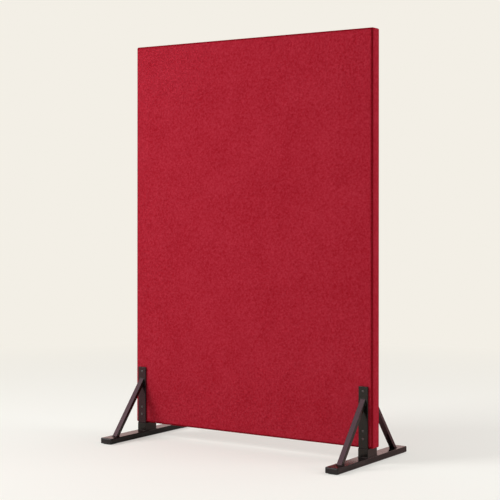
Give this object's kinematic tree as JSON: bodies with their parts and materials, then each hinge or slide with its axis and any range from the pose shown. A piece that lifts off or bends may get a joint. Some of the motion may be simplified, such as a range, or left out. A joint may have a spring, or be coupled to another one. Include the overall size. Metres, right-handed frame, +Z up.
{
  "type": "freestanding partition",
  "caption": "Upright felt-covered panel that divides a room, clamped between steel bars on braced flat floor feet.",
  "frame": {"origin": "on the floor under the middle of the panel", "axes": "+Z up, +X along the panel to its right end, -Y out of the front face"},
  "size_m": [0.9, 0.428, 1.3015],
  "materials": {
    "felt": "crimson pressed wool felt",
    "hardboard": "smooth brown hardboard",
    "softwood": "planed softwood",
    "panel_core": "light paper filling",
    "coated_steel": "satin brown-black coating",
    "end_plug": "moulded, satin black",
    "floor_pad": "matt black",
    "screw": "dark zinc"
  },
  "bodies": {
    "root": {"front_felt": "felt", "rear_felt": "felt", "edge_felt": "felt", "front_board": "hardboard", "rear_board": "hardboard", "left_stile": "softwood", "right_stile": "softwood", "top_rail": "softwood", "middle_rail": "softwood", "bottom_rail": "softwood", "upper_core": "panel_core", "lower_core": "panel_core", "left_base_tube": "coated_steel", "left_riser_tube": "coated_steel", "left_riser_weld": "coated_steel", "left_front_upright": "coated_steel", "left_front_brace": "coated_steel", "left_front_toe_weld": "coated_steel", "left_front_top_weld": "coated_steel", "left_rear_upright": "coated_steel", "left_rear_brace": "coated_steel", "left_rear_toe_weld": "coated_steel", "left_rear_top_weld": "coated_steel", "right_base_tube": "coated_steel", "right_riser_tube": "coated_steel", "right_riser_weld": "coated_steel", "right_front_upright": "coated_steel", "right_front_brace": "coated_steel", "right_front_toe_weld": "coated_steel", "right_front_top_weld": "coated_steel", "right_rear_upright": "coated_steel", "right_rear_brace": "coated_steel", "right_rear_toe_weld": "coated_steel", "right_rear_top_weld": "coated_steel", "left_front_end_cap": "end_plug", "left_rear_end_cap": "end_plug", "right_front_end_cap": "end_plug", "right_rear_end_cap": "end_plug", "left_front_floor_pad": "floor_pad", "left_rear_floor_pad": "floor_pad", "right_front_floor_pad": "floor_pad", "right_rear_floor_pad": "floor_pad", "left_front_lower_screw": "screw", "left_front_middle_screw": "screw", "left_front_upper_screw": "screw", "left_rear_lower_screw": "screw", "left_rear_middle_screw": "screw", "left_rear_upper_screw": "screw", "right_front_lower_screw": "screw", "right_front_middle_screw": "screw", "right_front_upper_screw": "screw", "right_rear_lower_screw": "screw", "right_rear_middle_screw": "screw", "right_rear_upper_screw": "screw"}
  },
  "joints": []
}
